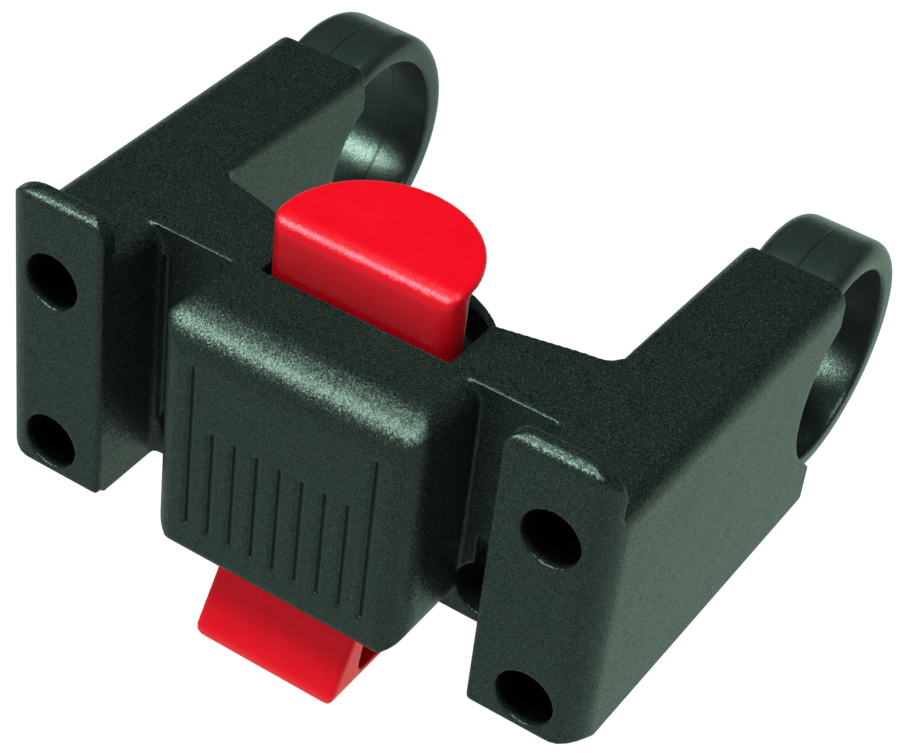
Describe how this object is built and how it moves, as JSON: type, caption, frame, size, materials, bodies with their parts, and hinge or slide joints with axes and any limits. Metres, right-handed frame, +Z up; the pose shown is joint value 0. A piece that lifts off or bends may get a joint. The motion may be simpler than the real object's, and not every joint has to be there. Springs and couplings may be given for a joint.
{
  "type": "bicycle handlebar bag mount",
  "caption": "Moulded frame on two arms that straps clamp to a handlebar, with slide channels, a sprung latch hook and a push button for a bag's plate.",
  "frame": {"origin": "on the handlebar's axis, midway between the two arms", "axes": "+X along the handlebar to the right arm as seen from the front of the picture, +Y back towards the rider, +Z up"},
  "size_m": [0.1082, 0.1022, 0.0719],
  "materials": {
    "black_plastic": "fine spark-eroded grain",
    "red_plastic": "satin moulded",
    "steel": "zinc plated"
  },
  "bodies": {
    "frame": {"main_frame": "black_plastic", "clamp_strap_left": "black_plastic", "clamp_strap_right": "black_plastic", "screw_upper_left": "steel", "screw_lower_left": "steel", "screw_upper_right": "steel", "screw_lower_right": "steel", "nut_upper_left": "steel", "nut_lower_left": "steel", "nut_upper_right": "steel", "nut_lower_right": "steel", "latch_pin": "steel", "button_spring": "steel", "latch_spring": "steel"},
    "button": {"release_button": "red_plastic"},
    "latch": {"latch_hook": "red_plastic"}
  },
  "joints": [
    {"name": "button_press", "type": "slide", "parent": "frame", "child": "button", "axis": [0, 0, -1], "range_m": [0, 0.006], "stiffness_N_per_m": 600, "springref_m": -0.006, "deforming": ["button_spring"]},
    {"name": "latch_swing", "type": "hinge", "parent": "frame", "child": "latch", "pos_m": [0, -0.0713, -0.0027], "axis": [1, 0, 0], "range_deg": [0, 8], "stiffness_Nm_per_rad": 0.3, "springref_deg": -17.19, "deforming": ["latch_spring"]}
  ],
  "couplings": [
    {"joint": "latch_swing", "follows": "button_press", "rad_per_m": 23.27}
  ]
}
